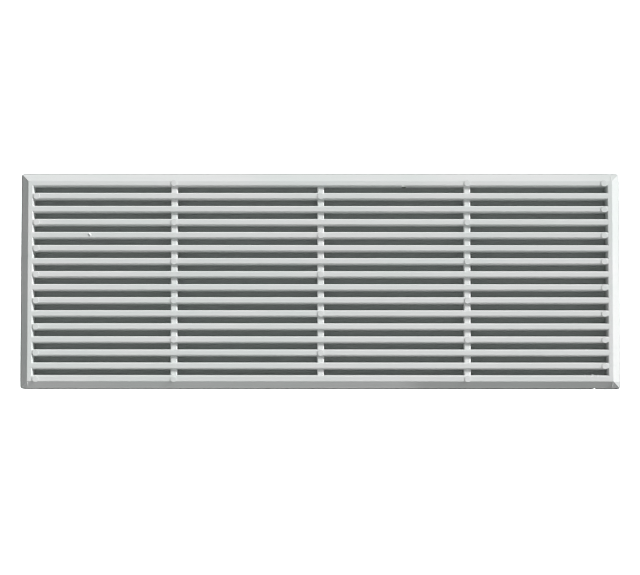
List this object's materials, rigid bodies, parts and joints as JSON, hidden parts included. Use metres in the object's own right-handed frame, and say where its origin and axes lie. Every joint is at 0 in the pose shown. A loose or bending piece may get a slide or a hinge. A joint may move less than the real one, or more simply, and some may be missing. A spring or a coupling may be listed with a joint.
{
  "type": "ventilation grille",
  "caption": "Long rectangular white plastic ventilation grille: bevelled flange, fixed horizontal bars crossed by upright ribs, and a shallow collar behind for a wall or cabinet opening.",
  "frame": {"origin": "centre of the overall length and height, on the plane of the collar's rear edge, on which the grille lies", "axes": "+X along the bars, +Y up the grille as it hangs on a wall, +Z out of its front face"},
  "size_m": [0.3908, 0.1408, 0.0137],
  "materials": {
    "white_plastic": "satin moulded white plastic"
  },
  "bodies": {
    "root": {"grille_body": "white_plastic"}
  },
  "joints": []
}
